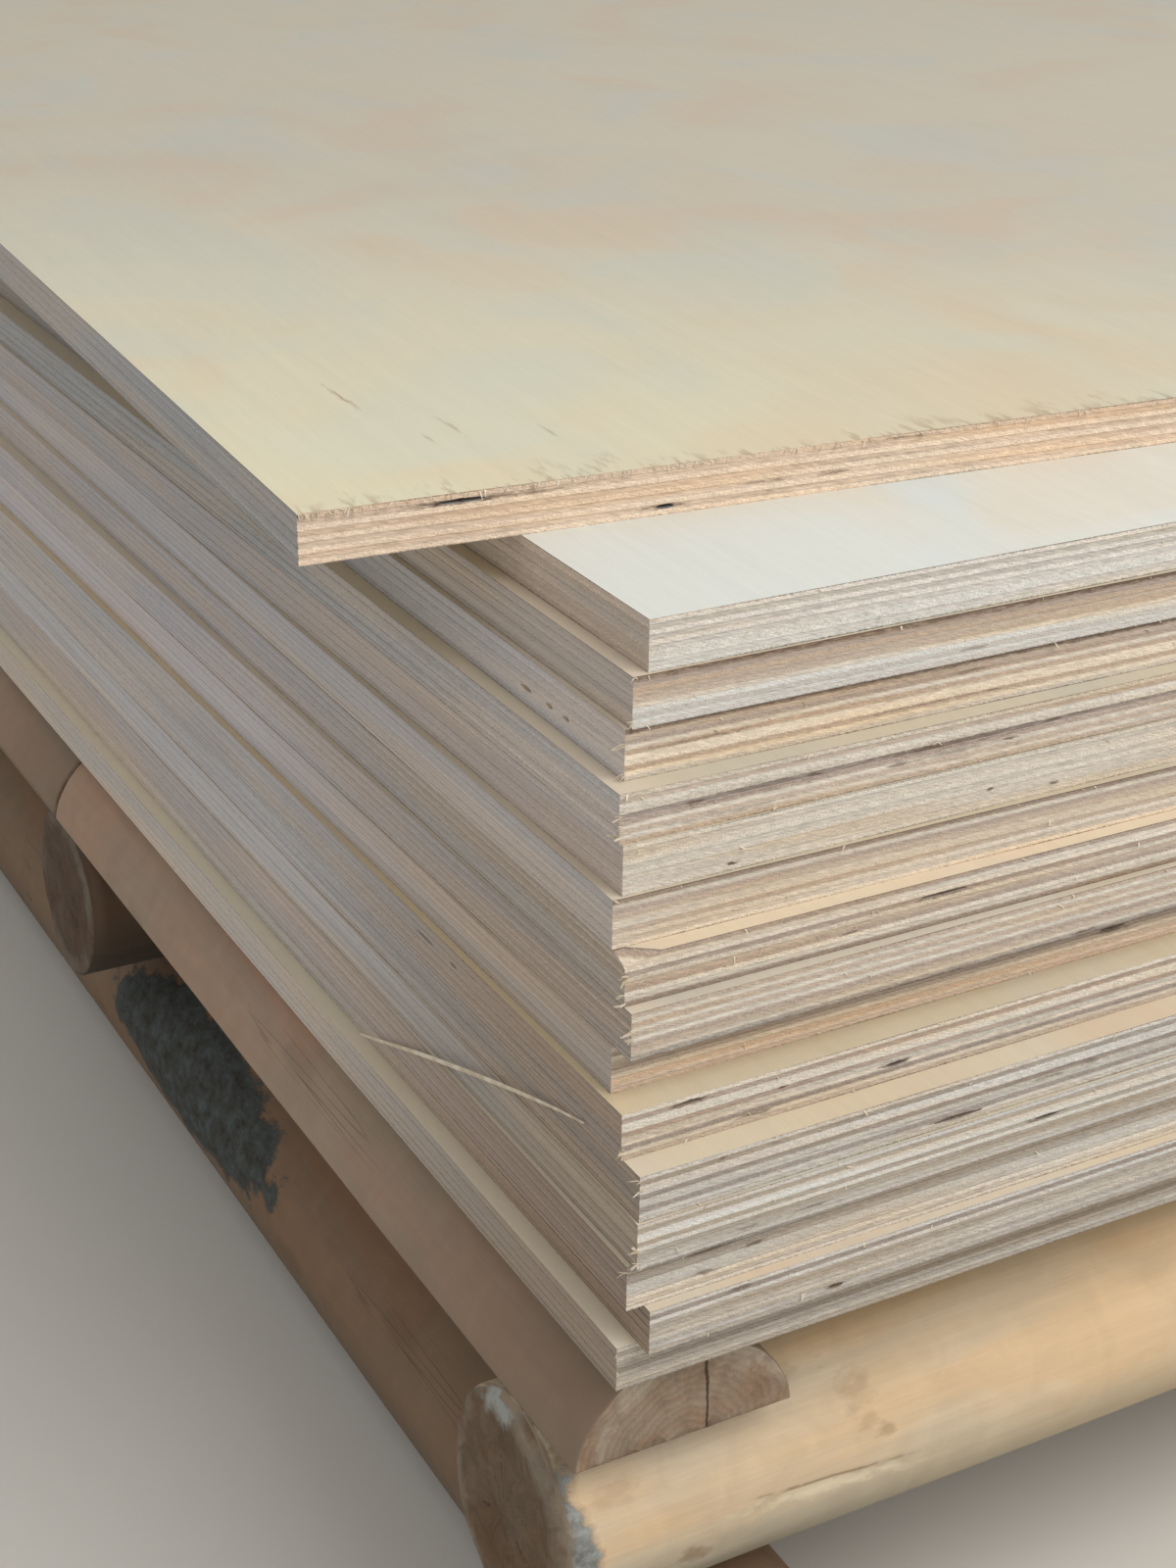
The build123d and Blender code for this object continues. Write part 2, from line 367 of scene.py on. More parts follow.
@node_group(*SURFACE)
def face_veneer(net, place: "Vector", seed, base: "Color", warm: "Color", cool: "Color",
                torn, dust, ledge: "Color"):
    """Grain, soft patches, torn fibres with painted shade in their tears, and painted light and shade on the
    ledge at the left, on the face of a sheet.
    """
    x, y, _ = net.split(place)
    long_y = y * 0.85
    soft = net.noise((x, long_y, seed), 2, distortion=0.8, scale=8)
    second = net.noise((x, long_y, seed + 5), 2, distortion=0.8, scale=9)
    colour = net.blend(soft.ease(0.46, 0.70, 0, 0.65), base, warm)
    colour = net.blend(second.ease(0.46, 0.70, 0, 0.8), colour, cool)
    grain = net.noise((x * 190, y * 7, seed), 3, 0.6)
    pore = net.noise((x * 1500, y * 70, seed))
    shade = grain.remap(0.25, 0.75, 0.965, 1.03) * pore.remap(0.2, 0.8, 0.98, 1.02)
    # Brown tear-out spots near the front edge: torn wood, and painted shade in the tears.
    tear = net.noise((x * 300, y * 60, seed + 9), 2, 0.6).remap(0.5, 0.62)
    reach = net.noise((x * 60, seed), roughness=0.6).remap(0.35, 0.7, 4 * MM, 30 * MM)
    tear = tear * y.remap(0, reach, 1, 0) * torn
    # Painted light and shade: near the left edge the face takes the ledge tone, for how the light falls on
    # the ledges under the sheets above.
    dusty = x.remap(4 * MM, 18 * MM, 1, 0) * dust
    colour = net.blend(dusty, net.shade(colour, shade), ledge)
    colour = net.blend(tear * 0.5, colour, linear(150, 122, 92))
    return colour, grain * 0.5 + pore * 0.25, grain.remap(0.2, 0.8, 0.6, 0.72)


def add_smudges(net, colour, tone, run, depth, ragged, marks):
    """Marks of one tone over a colour: each its place along and level, half its size and how dark."""
    for mark in marks:
        mask, = smudge(net, run, depth, ragged, *mark)
        colour = net.blend(mask, colour, linear(*tone))
    return colour


def veneer_ramp(net, depth, colours, masks):
    """A colour for each veneer in a flat band with soft ends, and its mask."""
    made = net.node("ValToRGB", {"Fac": depth})
    stops = made.color_ramp.elements
    stops.remove(stops[1])
    soften = 0.017
    count = len(colours)
    for number, (colour, mask) in enumerate(zip(colours, masks), start=1):
        first = stops[0] if number == 1 else stops.new((number - 1) / count + soften)
        last = stops.new(number / count - (soften if number < count else 0))
        first.color = last.color = (*colour[:3], mask)
    return [Flow(net, socket) for socket in made.outputs]


def sheet_mesh(number):
    """The mesh of a sheet of the frame."""
    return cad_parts[f"sheet_{number:02d}"].data


def sheet_place(number):
    """A sheet's front left bottom corner, turn, ways along its front and back, and thickness."""
    corners = [vertex.co.copy() for vertex in sheet_mesh(number).vertices]
    low = min(corner.z for corner in corners)
    high = max(corner.z for corner in corners)
    left = min(corners, key=lambda corner: corner.x + corner.y)
    right = min(corners, key=lambda corner: corner.y - corner.x)
    turn = math.atan2(right.y - left.y, right.x - left.x)
    along = Vector((math.cos(turn), math.sin(turn), 0))
    return Vector((left.x, left.y, low)), turn, along, Vector((-along.y, along.x, 0)), high - low


# Tones of the narrow ledges at the left, by sheet, which are painted light and shade for how the
# light falls on them under the sheets above. The two top sheets have none.
LEDGE_TONE = (208, 194, 174)
LEDGE_TONES = {11: (206, 186, 152), 16: (230, 219, 198)}
SHEETS_WITHOUT_LEDGE = (1, 2)

# Scratches on the top face: along and back from the front left corner, half the length and
# half the width in millimetres, and how dark. They run back, nearly along the grain.
SCRATCHES = ((59, 120, 17, 1.1, 0.55), (83, 71, 14, 1, 0.4), (113, 52, 8, 0.8, 0.4), (70, 60, 7, 0.8, 0.3))
SCRATCH_LEAN = 0.05


def finish_top_face(net, place, colour):
    """Painted light: a greyer, cooler tint away from the corner, for the sky's sheen and the weaker lamp
    further back; and thin brown scratches, over the colour of a face.
    """
    x, y, _ = net.split(place)
    # Painted reflection and shade: the face turns greyer and cooler away from the corner.
    colour = net.tint(colour, linear(227, 226, 238), (x * 0.7 + y).remap(0.03, 0.62))
    ragged = net.noise((x * 900, y * 120))
    marks = [(back * MM, (along + SCRATCH_LEAN * back) * MM, half * MM, wide * MM, dark)
             for along, back, half, wide, dark in SCRATCHES]
    return add_smudges(net, colour, (142, 108, 76), y, y * SCRATCH_LEAN + x, ragged, marks)


def side_edge_tone(net, look, number, run, height, lines):
    """The tone of a long edge, which changes on the way back as painted light and shade, with its veneers
    and a haze.
    """
    # Painted light and shade: the edge goes from its near tone to its far tone on the way back.
    tone = net.blend(run.ease(0.03, 0.35), linear(*look.near), linear(*look.far))
    faint = net.blend(run.remap(0.03, 0.3, 0.25, 0.75), lines, (0.97, 0.97, 0.97, 1))
    haze = net.noise((run * 5, height * 55, number * 3.1)).ease(0.4, 0.6)
    haze = net.blend(haze, linear(255, 247, 244), linear(243, 243, 250))
    return net.tint(net.tint(tone, faint), haze)


def sheet_material(number, look, props):
    """The material of one sheet: two patterns for its edges and one for its faces."""
    material, net = new_material(f"plywood_sheet_{number:02d}")
    corner, turn, _, _, thickness = sheet_place(number)
    pick = random.Random(number)
    ties = {"Vector": net.out("TexCoord", output="Object"), "Location": corner, "Rotation": (0, 0, turn)}
    place = net.out("Mapping", ties, vector_type="TEXTURE")
    normal = net.out("TexCoord", output="Normal")
    on_face, ends, near, run, height = sheet_parts(net, place, normal, thickness)
    depth, = veneer_lines(net, run, height, thickness, number, props.sway)
    cross = [float(letter.isupper()) for letter in look.tones]
    tones = [linear(*TONES[letter]) for letter in look.tones.lower()]
    front_tone, front_along = veneer_ramp(net, depth, tones, cross)
    levels = [(1.02 if across else 0.9) * pick.uniform(0.84, 1.08) for across in cross]
    side_lines, side_along = veneer_ramp(
        net, depth, [(level, level, level) for level in levels], [0.5 * (1 - across) for across in cross])
    side_tone = side_edge_tone(net, look, number, run, height, side_lines)
    edge, edge_bump, edge_roughness = sawn_edge(
        net, tone=net.blend(ends, side_tone, front_tone), along=net.choose(ends, side_along, front_along),
        run=run, height=height, seed=number * 1.7, flecks=props.flecks * look.flecks,
        saw_marks=net.choose(ends, 0.35 * props.saw_marks, props.saw_marks), drift=ends * props.drift)
    # Painted shade in the crevices where one sheet lies on the next: the top and bottom of each edge darken.
    close = net.noise((run * 14, 0, number * 1.3)).remap(0.35, 0.65, 0.25, 0.9)
    joint = abs(depth - 0.5).remap(0.468, 0.5, 0, close)
    edge = net.blend(joint, edge, linear(92, 74, 60))
    # Knots, torn grain and rims of gaps, and the long lines where sheets meet, which are painted shadow.
    if number in SHEET_MARKS:
        ragged = net.noise((run * 170, height * 900, number), 2, 0.6)
        total = 0
        for along, level, half, tall, dark in SHEET_MARKS[number]:
            mask, = smudge(net, run, depth, ragged, along * MM, level, half * MM, tall, dark)
            total = net.math("MAXIMUM", mask, total)
        edge = net.blend(total * ends * near, edge, linear(92, 72, 60))
    face, face_bump, face_roughness = face_veneer(
        net, place=place, seed=number * 2.3, base=linear(*look.face), warm=linear(*look.warm),
        cool=linear(*look.cool), torn=float(number == 1), dust=0 if number in SHEETS_WITHOUT_LEDGE else 0.8,
        ledge=linear(*LEDGE_TONES.get(number, LEDGE_TONE)))
    if number == 1:
        face = finish_top_face(net, place, face)
    net.surface(net.blend(on_face, edge, face), net.choose(on_face, edge_roughness, face_roughness), 0.35,
                net.choose(on_face, edge_bump, face_bump), 0.35, 0.4 * MM)
    return material


def share_setting(name, description, default, high=1):
    """A setting that goes up from 0."""
    return bpy.props.FloatProperty(name=name, description=description, default=default, min=0, max=high,
                                   subtype="FACTOR")


class PlywoodSheetProps(bpy.types.PropertyGroup):
    """What a user may change on the sheets."""

    sway: share_setting("Veneer sway", "How far the veneers wander, as a share of the thickness", 0.022, 0.1)
    flecks: share_setting("Flecks", "How dark the short flecks in the core veneers are", 0.8)
    saw_marks: share_setting("Saw marks", "How strongly the saw's teeth show on the edges", 0.6)
    drift: share_setting("Colour drift", "How much the colour of a veneer drifts along its edge", 0.5)


class PLYWOOD_OT_sheets(bpy.types.Operator):
    """Give every sheet its veneers, grain and saw marks"""

    bl_idname = "plywood.sheets"
    bl_label = "Sheets"

    def execute(self, context):
        props = context.scene.plywood_sheets
        for number, look in enumerate(SHEET_LOOKS, start=1):
            materials = sheet_mesh(number).materials
            materials.clear()
            materials.append(sheet_material(number, look, props))
        return {"FINISHED"}


# Logs

LOG_RADIUS = (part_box("floor_log_left")[1].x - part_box("floor_log_left")[0].x) / 2
FRONT_LOG = "cross_log_1"

# A log's kind, the length and number of its faces, the rounding of its rims, how far it bends,
# how far its ends lean and its patches of bark: each metres along, degrees round, and half
# the length and width in metres.
WoodLook = namedtuple("WoodLook", "kind step sides rim bow skew patches",
                      defaults=(10 * MM, 56, 2 * MM, 0, 0, ()))

# The tones of each kind of log: pale and warm wood, a darker, cooler tone painted as shade on
# the underside, and the heart and sapwood of its ends
WOOD_KINDS = {
    "peeled": ((199, 183, 158), (206, 177, 140), (149, 144, 126), (106, 90, 72), (128, 116, 100)),
    "weathered": ((124, 102, 80), (132, 100, 74), (100, 88, 72), (104, 86, 70), (132, 118, 102)),
    "dark": ((96, 80, 64), (104, 78, 58), (80, 70, 60), (92, 78, 66), (108, 96, 84)),
    "halved": ((150, 131, 112), (162, 130, 108), (132, 114, 98), (146, 129, 110), (160, 146, 128)),
}
STAIN_TINT = (0.94, 0.85, 0.79)
BARK_TONES = ((54, 50, 43), (80, 87, 86))
MOULDY_BARK_TONES = ((100, 100, 92), (150, 153, 149))


def wood_looks():
    """How each log of the crib looks, by node."""
    looks = {
        FRONT_LOG: WoodLook("peeled", 3 * MM, 128, 7 * MM, 0, 0.05, (
            (0.004, 184, 0.016, 0.044), (0.700, 235, 0.060, 0.020), (1.268, 60, 0.014, 0.040))),
    }
    for number, kind in ((2, "dark"), (3, "weathered"), (4, "peeled"), (5, "weathered")):
        patches = ((0.2 * number, 40 * number, 0.12, 0.03), (1.24, 150, 0.03, 0.05))
        looks[f"cross_log_{number}"] = WoodLook(
            kind, bow=(-1) ** number * 3 * MM, skew=0.03, patches=patches)
    for row, along, angle in (("left", 0.535, 28), ("middle", 1.7, 120), ("right", 0.9, 160)):
        patches = ((along, angle, 0.125, 0.032), (along + 0.6, angle + 40, 0.09, 0.02),
                   (2.3, 30, 0.14, 0.03))
        looks[f"floor_log_{row}"] = WoodLook(
            "weathered", step=12 * MM, bow=2.5 * MM, skew=0.02, patches=patches)
    for row in ("left", "middle", "right"):
        for number in range(1, 5):
            looks[f"bearer_{row}_{number}"] = WoodLook("halved", rim=1.2 * MM, bow=(number - 2) * 1.5 * MM)
    looks["bearer_left_1"] = looks["bearer_left_1"]._replace(step=5 * MM, sides=112, bow=0)
    return looks


def smooth_share(value, low, high):
    """0 below low, 1 above high and an even curve between."""
    share = min(max((value - low) / (high - low), 0), 1)
    return share * share * (3 - 2 * share)


def wave(x, y, z, seed):
    """Smooth noise from -1 to 1 at a place."""
    return noise.noise(Vector((x, y, z + 17.3 * seed)))


def spun_rod(bm, length, look):
    """A closed round rod along +X from the origin, with rounded rims and fine end faces."""
    turns = 3
    end = [(0, share * (LOG_RADIUS - look.rim)) for share in (0, 0.22, 0.44, 0.65, 0.82, 0.94)]
    for number in range(turns + 1):
        angle = math.pi / 2 * number / turns
        end.append((look.rim * (1 - math.cos(angle)), LOG_RADIUS - look.rim * (1 - math.sin(angle))))
    spans = max(1, round((length - 2 * look.rim) / look.step))
    run = (length - 2 * look.rim) / spans
    middle = [(look.rim + run * number, LOG_RADIUS) for number in range(1, spans)]
    profile = end + middle + [(length - x, radius) for x, radius in reversed(end)]
    verts = [bm.verts.new((x, radius, 0)) for x, radius in profile]
    edges = [bm.edges.new(pair) for pair in zip(verts, verts[1:])]
    bmesh.ops.spin(bm, geom=verts + edges, cent=(0, 0, 0), axis=(1, 0, 0),
                   angle=math.tau, steps=look.sides, use_merge=True)
    bmesh.ops.remove_doubles(bm, verts=bm.verts[:], dist=1e-6)


def bark_share(along, angle, patches):
    """How far a place lies inside the patches of bark: over 0.5 is inside."""
    best = 0
    for place, degrees, length, width in patches:
        turn = math.remainder(angle - math.radians(degrees), math.tau)
        reach = math.hypot((along - place) / length, turn * LOG_RADIUS / width)
        best = max(best, 1.5 - reach)
    return min(best, 1)


# The long scar on the front cross log, as distance from its end and degrees round it
SCAR_ALONG = (0.082, 0.158)
SCAR_ANGLE = (172, 180)
SCAR_DEPTH = 1.2 * MM


def scar_cut(along, angle):
    """How deep the strip under the scar is torn out at a place on the front cross log."""
    start, stop = SCAR_ALONG
    if not start < along < stop:
        return 0
    share = (along - start) / (stop - start)
    line = math.radians(SCAR_ANGLE[0] + (SCAR_ANGLE[1] - SCAR_ANGLE[0]) * share)
    line += 0.02 * wave(along * 90, 0, 0, 4)
    under = math.remainder(angle - line, math.tau) * LOG_RADIUS
    fade = smooth_share(along, start, start + 8 * MM) * (1 - smooth_share(along, stop - 20 * MM, stop))
    return SCAR_DEPTH * fade * smooth_share(under, 0, 1.2 * MM) * (1 - smooth_share(under, 5 * MM, 17 * MM))


# How deep the round side of a log is worn, and its sawn ends
SWELL_DEPTH = 1.1 * MM
FLUTE_DEPTH = 0.7 * MM
BARK_HEIGHT = 0.6 * MM
SAW_DEPTH = 0.5 * MM
END_DEPTH = 2 * MM


def wear_rod(bm, node, length, look, seed, foot):
    """The rod's surface is moved inward as peeling, knots and saw leave it.

    It keeps its height where it touches the pieces above and below.
    """
    place_layer = bm.verts.layers.float_vector.new("wood_place")
    bark_layer = bm.verts.layers.float.new("bark")
    on_foot = 1e-5
    for vert in bm.verts:
        x, y, z = vert.co
        vert[place_layer] = vert.co
        radius = math.hypot(y, z)
        angle = math.atan2(z, y)
        bark = bark_share(x, angle, look.patches) + 0.25 * wave(x * 60, y * 60, z * 60, seed)
        vert[bark_layer] = bark
        if radius > 0:
            level = abs(z) / radius if foot is None else z / radius
            free = 1 - smooth_share(level, 0.84, 0.97)
            swell = SWELL_DEPTH * (0.5 + 0.5 * wave(x * 2.1, y * 16, z * 16, seed))
            flute = FLUTE_DEPTH * abs(wave(x * 5, y * 75, z * 75, seed + 3))
            knot = smooth_share(wave(x * 13, y * 28, z * 28, seed + 6), 0.42, 0.62)
            peeled = BARK_HEIGHT * (1 - smooth_share(bark, 0.42, 0.58))
            cut = (swell + flute * (1 - knot) + peeled) * free
            if node == FRONT_LOG:
                cut += scar_cut(x, angle)
            scale = 1 - cut / LOG_RADIUS
            y, z = y * scale, z * scale
        inset = SAW_DEPTH * (0.5 + 0.5 * wave(x, y * 140, z * 140, seed + 9))
        if look.kind != "halved":
            inset += END_DEPTH * (0.5 + 0.5 * wave(0, y * 42, z * 42, seed + 11))
        lean = look.skew * (z + LOG_RADIUS)
        reach = smooth_share(look.rim * 2 - min(x, length - x), 0, look.rim * 2)
        x += (inset + lean) * reach * (1 if x < length / 2 else -1)
        y += look.bow * math.sin(math.pi * x / length)
        if foot is not None and abs(vert.co.z - foot) < on_foot:
            z = foot
        vert.co = (x, y, z)


def add_object(name, data, place=Matrix()):
    """A new object of the scene."""
    made = bpy.data.objects.new(name, data)
    made.matrix_world = place
    bpy.context.scene.collection.objects.link(made)
    return made


def mesh_object(name, bm, *materials):
    """A new object from a finished mesh."""
    mesh = bpy.data.meshes.new(name)
    bm.to_mesh(mesh)
    bm.free()
    for material in materials:
        mesh.materials.append(material)
    return add_object(name, mesh)


def wood_object(node, look, seed):
    """A detailed log in the place of a plain one of the frame."""
    low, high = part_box(node)
    length = max(high.x - low.x, high.y - low.y)
    axis_z = high.z - LOG_RADIUS
    bm = bmesh.new()
    spun_rod(bm, length, look)
    foot = None
    if look.kind == "halved":
        foot = low.z - axis_z
        everything = bm.verts[:] + bm.edges[:] + bm.faces[:]
        bmesh.ops.bisect_plane(bm, geom=everything, plane_co=(0, 0, foot), plane_no=(0, 0, 1),
                               clear_inner=True)
        rim = [edge for edge in bm.edges if edge.is_boundary]
        bmesh.ops.holes_fill(bm, edges=rim, sides=0)
    wear_rod(bm, node, length, look, seed, foot)
    bmesh.ops.recalc_face_normals(bm, faces=bm.faces[:])
    for face in bm.faces:
        middle = face.calc_center_median()
        face.smooth = True
        if abs(face.normal.x) > 0.75 and min(middle.x, length - middle.x) < 8 * MM:
            face.material_index = 1
        elif foot is not None and face.normal.z < -0.9:
            face.smooth = False
    if high.x - low.x > high.y - low.y:
        place = Matrix.Translation((low.x, (low.y + high.y) / 2, axis_z))
    else:
        place = Matrix.Translation(((low.x + high.x) / 2, low.y, axis_z))
        place = place @ Matrix.Rotation(math.pi / 2, 4, "Z")
    bmesh.ops.transform(bm, matrix=place, verts=bm.verts[:])
    made = mesh_object(node + "_wood", bm, wood_side_material(node, look.kind),
                       wood_end_material(node, look.kind))
    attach(made, BODY)
    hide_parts(node)


@node_group(*SURFACE)
def long_grain(net, place: "Vector", bark, pale: "Color", warm: "Color", under: "Color", cracks,
               bark_dark: "Color", bark_pale: "Color"):
    """Streaks, stains, knots, drying cracks and bark on the side of a log, and painted shade on its
    underside.
    """
    x, y, z = net.split(place)

    def texture(along, across, shift, detail, roughness=0.5, distortion=0):
        return net.noise((x * along + shift, y * across, z * across), detail, roughness, distortion)

    stain = texture(6, 22, 0, 3, 0.55, 0.5)
    colour = net.blend(stain.ease(0.4, 0.68, 0, 0.9), pale, warm)
    # Painted shade: the underside is blended towards the darker, cooler tone.
    low = z.ease(0.3 * LOG_RADIUS, -0.65 * LOG_RADIUS, 0, 0.85)
    colour = net.blend(low, colour, under)
    streak = texture(7, 190, 3, 4, 0.6)
    fibre = texture(60, 1500, 0, 3, 0.6)
    shade = streak.remap(0.25, 0.75, 0.90, 1.07) * fibre.remap(0.2, 0.8, 0.96, 1.04)
    shade = shade * texture(48, 36, 12, 3, 0.55, 1.2).remap(0.3, 0.7, 0.93, 1.05)
    cell = {"Vector": net.point(x * 6.5 + 0.4, y * 17, z * 17), "Scale": 1, "Randomness": 1}
    knot = net.out("TexVoronoi", cell, "Distance").ease(0.05, 0.15, 1, 0)
    crack = abs(texture(2.2, 70, 8, 2) - 0.56).remap(0.002, 0.007, 1, 0)
    crack = crack * texture(5, 30, 5, 1).remap(0.55, 0.62) * cracks
    wood = net.shade(colour, shade * (knot * -0.16 + 1) * (crack * -0.5 + 1))
    rough = texture(110, 150, 0, 5, 0.68)
    edge = (rough - 0.5) * 0.7 + bark
    wood = net.blend(edge.remap(0.30, 0.46) * 0.35, wood, linear(118, 92, 70))
    barked = edge.remap(0.46, 0.56)
    bark_tone = net.blend(rough.remap(0.35, 0.65), bark_dark, bark_pale)
    relief = streak * 0.5 + fibre * 0.2 - crack * 0.7
    return (net.blend(barked, wood, bark_tone), net.choose(barked, relief, rough * 1.6 + 0.4),
            net.choose(barked, streak.remap(0.3, 0.7, 0.62, 0.78), 0.95))


# Where the crack in the end of a bearer is, and how far it leans
SPLIT_PLACE = -10 * MM
SPLIT_LEAN = -0.05


@node_group(*SURFACE)
def end_grain(net, place: "Vector", seed, heart: "Color", sap: "Color", stain: "Color", split, star, rings):
    """Rings, rays, heart and cracks on the sawn end of a log."""
    _, y, z = net.split(place)
    flat = net.point(y, z, seed)
    mottle = net.noise(flat, 4, 0.6, 0.8, 75)
    fine = net.noise(flat, 4, 0.7, scale=700)
    radius = (mottle - 0.5) * (9 * MM) + net.reach(y, z)
    ring = net.math("SINE", radius * 1900) * 0.5 + 0.5
    safe = net.math("MAXIMUM", radius, 2 * MM)
    way = net.point(y / safe, z / safe, seed)
    ray = net.noise(way, 3, 0.6, scale=9)
    colour = net.blend(radius.ease(0.72 * LOG_RADIUS, 0.86 * LOG_RADIUS), heart, sap)
    broad = net.noise(flat, 3, 0.55, 0.6, 34)
    colour = net.blend(broad.ease(0.42, 0.66, 0, 0.8), colour, stain)
    shade = mottle.remap(0.3, 0.7, 0.78, 1.16) * ((ring - 0.6) * rings + 1)
    shade = shade * ray.remap(0.3, 0.7, 0.94, 1.04) * fine.remap(0.25, 0.75, 0.86, 1.1)
    check = abs(net.noise(way, scale=2.6) - 0.5) < radius.remap(0.1 * LOG_RADIUS, 0.6 * LOG_RADIUS, star, 0)
    line = z * SPLIT_LEAN + (mottle - 0.5) * (2.4 * MM) + y
    wide = z.remap(-0.1 * LOG_RADIUS, 0.95 * LOG_RADIUS, 0.35 * MM, 0.75 * MM)
    gap = net.math("MAXIMUM", check, (abs(line - SPLIT_PLACE) < wide) * split)
    colour = net.blend(gap * 0.85, net.shade(colour, shade), linear(52, 40, 34))
    return colour, fine * 0.7 + ring * 0.2 - gap, fine.remap(0.2, 0.8, 0.85, 0.95)


# Marks on the front cross log: millimetres from its left end, degrees above its front, half
# the length and half the height in millimetres, and how dark. The last is painted shade on the
# log beside the bearer that rests on it.
LOG_MARKS = (
    (136, 42, 8, 9, 0.28), (146, 18.5, 5, 4, 0.4), (139, 25.5, 5, 4, 0.25), (60, -13, 7, 5, 0.5),
    (30, 34, 12, 5, 0.2), (88, 2, 10, 3, 0.2), (56, 60, 58, 7, 0.5),
)
# The pale strip under the scar and its dark edge, which is painted shade along the scar's
# step: millimetres above the scar's line, half the height in millimetres, how strong, and the tone.
SCAR_STRIPS = ((-4, 4, 0.7, (222, 208, 178)), (0.3, 1.1, 0.55, (112, 86, 58)))


def add_log_marks(net, place, colour):
    """Stains, specks, painted shade by the end and beside the bearer, a warmer right part and the scar on
    the front cross log.
    """
    x, y, z = net.split(place)
    around = net.math("ARCTAN2", z, y * -1) * LOG_RADIUS
    ragged = net.noise((x * 130, around * 210), 3)
    marks = [(along * MM, math.radians(above) * LOG_RADIUS, half * MM, tall * MM, dark)
             for along, above, half, tall, dark in LOG_MARKS]
    colour = add_smudges(net, colour, (120, 88, 58), x, around, ragged, marks)
    colour = net.blend(x.remap(0.10, 0.5, 0, 0.65), colour, linear(226, 192, 147))
    # Painted shade near the left end, on the upper part of the log.
    dirt = net.noise((x * 120, around * 75), 4, 0.65) * (20 * MM) + x
    dirt = dirt.remap(15 * MM, 19 * MM, 0.85, 0) * around.ease(-6 * MM, 12 * MM)
    colour = net.blend(dirt, colour, linear(122, 106, 88))
    start, stop = SCAR_ALONG
    middle = (start + stop) / 2
    first, last = (math.radians(180 - part) * LOG_RADIUS for part in SCAR_ANGLE)
    level = (x - middle) * ((first - last) / (stop - start)) + around
    for drop, tall, dark, tone in SCAR_STRIPS:
        strip = (middle, (first + last) / 2 + drop * MM, (stop - start) / 2 * 1.05, tall * MM, dark)
        colour = add_smudges(net, colour, tone, x, level, ragged, [strip])
    return colour


def wood_side_material(node, kind):
    """The material of the side of a log, shared by its kind unless it has marks of its own."""
    marked = node == FRONT_LOG
    name = "wood_side_" + (node if marked else kind)
    if name in bpy.data.materials:
        return bpy.data.materials[name]
    material, net = new_material(name)
    tones = WOOD_KINDS[kind][:3] + (MOULDY_BARK_TONES if marked else BARK_TONES)
    pale, warm, under, bark_dark, bark_pale = (linear(*tone) for tone in tones)
    place = net.out("Attribute", output="Vector", attribute_name="wood_place")
    bark = net.out("Attribute", output="Fac", attribute_name="bark")
    colour, bump, roughness = long_grain(
        net, place, bark, pale, warm, under, 0.15 if marked else 0.7, bark_dark, bark_pale)
    if marked:
        colour = add_log_marks(net, place, colour)
    elif kind == "halved":
        # Painted shade: every bearer piece is darker towards its front end.
        ahead = net.split(place)[0]
        colour = net.shade(colour, ahead.remap(0, 0.3, 0.92, 1.07))
        colour = net.blend(ahead.remap(0, 0.22, 0.6, 0), colour, linear(110, 98, 82))
    net.surface(colour, roughness, 0.3, bump, depth=0.8 * MM)
    return material


# A patch of mould on the end of the front cross log: its place and half its size in metres,
# and how strong
MOULD = (0.010, 0.041, 0.014, 0.007, 0.8)


def wood_end_material(node, kind):
    """The material of the sawn ends of one log."""
    material, net = new_material("wood_end_" + node)
    halved = kind == "halved"
    heart, sap = WOOD_KINDS[kind][3:]
    stain = (part * tint for part, tint in zip(heart, STAIN_TINT))
    place = net.out("Attribute", output="Vector", attribute_name="wood_place")
    colour, bump, roughness = end_grain(
        net, place=place, seed=len(bpy.data.materials), heart=linear(*heart), sap=linear(*sap),
        stain=linear(*stain), split=float(node == "bearer_left_1"), star=0 if halved else 0.009,
        rings=0.14 if halved else 0.04)
    if node == FRONT_LOG:
        _, y, z = net.split(place)
        ragged = net.noise(place, 3, 0.6, scale=130)
        colour = add_smudges(net, colour, (158, 162, 158), y, z, ragged, [MOULD])
    net.surface(colour, roughness, 0.25, bump, depth=0.6 * MM)
    return material


class PLYWOOD_OT_logs(bpy.types.Operator):
    """Put detailed logs in the place of the plain ones"""

    bl_idname = "plywood.logs"
    bl_label = "Logs"

    def execute(self, context):
        for seed, (node, look) in enumerate(wood_looks().items(), start=1):
            wood_object(node, look, seed)
        return {"FINISHED"}


# Loose fibres


class PlywoodFibreProps(bpy.types.PropertyGroup):
    """What a user may change on the torn fibres."""

    per_edge: bpy.props.IntProperty(
        name="Fibres per edge", description="Torn fibres along the front of a sheet",
        default=46, min=0, max=200)
    seed: bpy.props.IntProperty(name="Seed", description="Which set of fibres is drawn", default=5, min=0)


def fibre_template(cuts):
    """A straight tapered fibre along +X as a mesh, one long, with a flat section one wide."""
    bm = bmesh.new()
    ahead = Matrix.Rotation(math.pi / 2, 4, "Y") @ Matrix.Translation((0, 0, 0.5))
    bmesh.ops.create_cone(bm, cap_ends=True, cap_tris=False, segments=4, radius1=0.5, radius2=0.12,
                          depth=1.0, matrix=ahead)
    long_edges = [edge for edge in bm.edges if edge.calc_length() > 0.9]
    bmesh.ops.subdivide_edges(bm, edges=long_edges, cuts=cuts)
    bmesh.ops.recalc_face_normals(bm, faces=bm.faces[:])
    mesh = bpy.data.meshes.new("fibre_template")
    bm.to_mesh(mesh)
    bm.free()
    return mesh


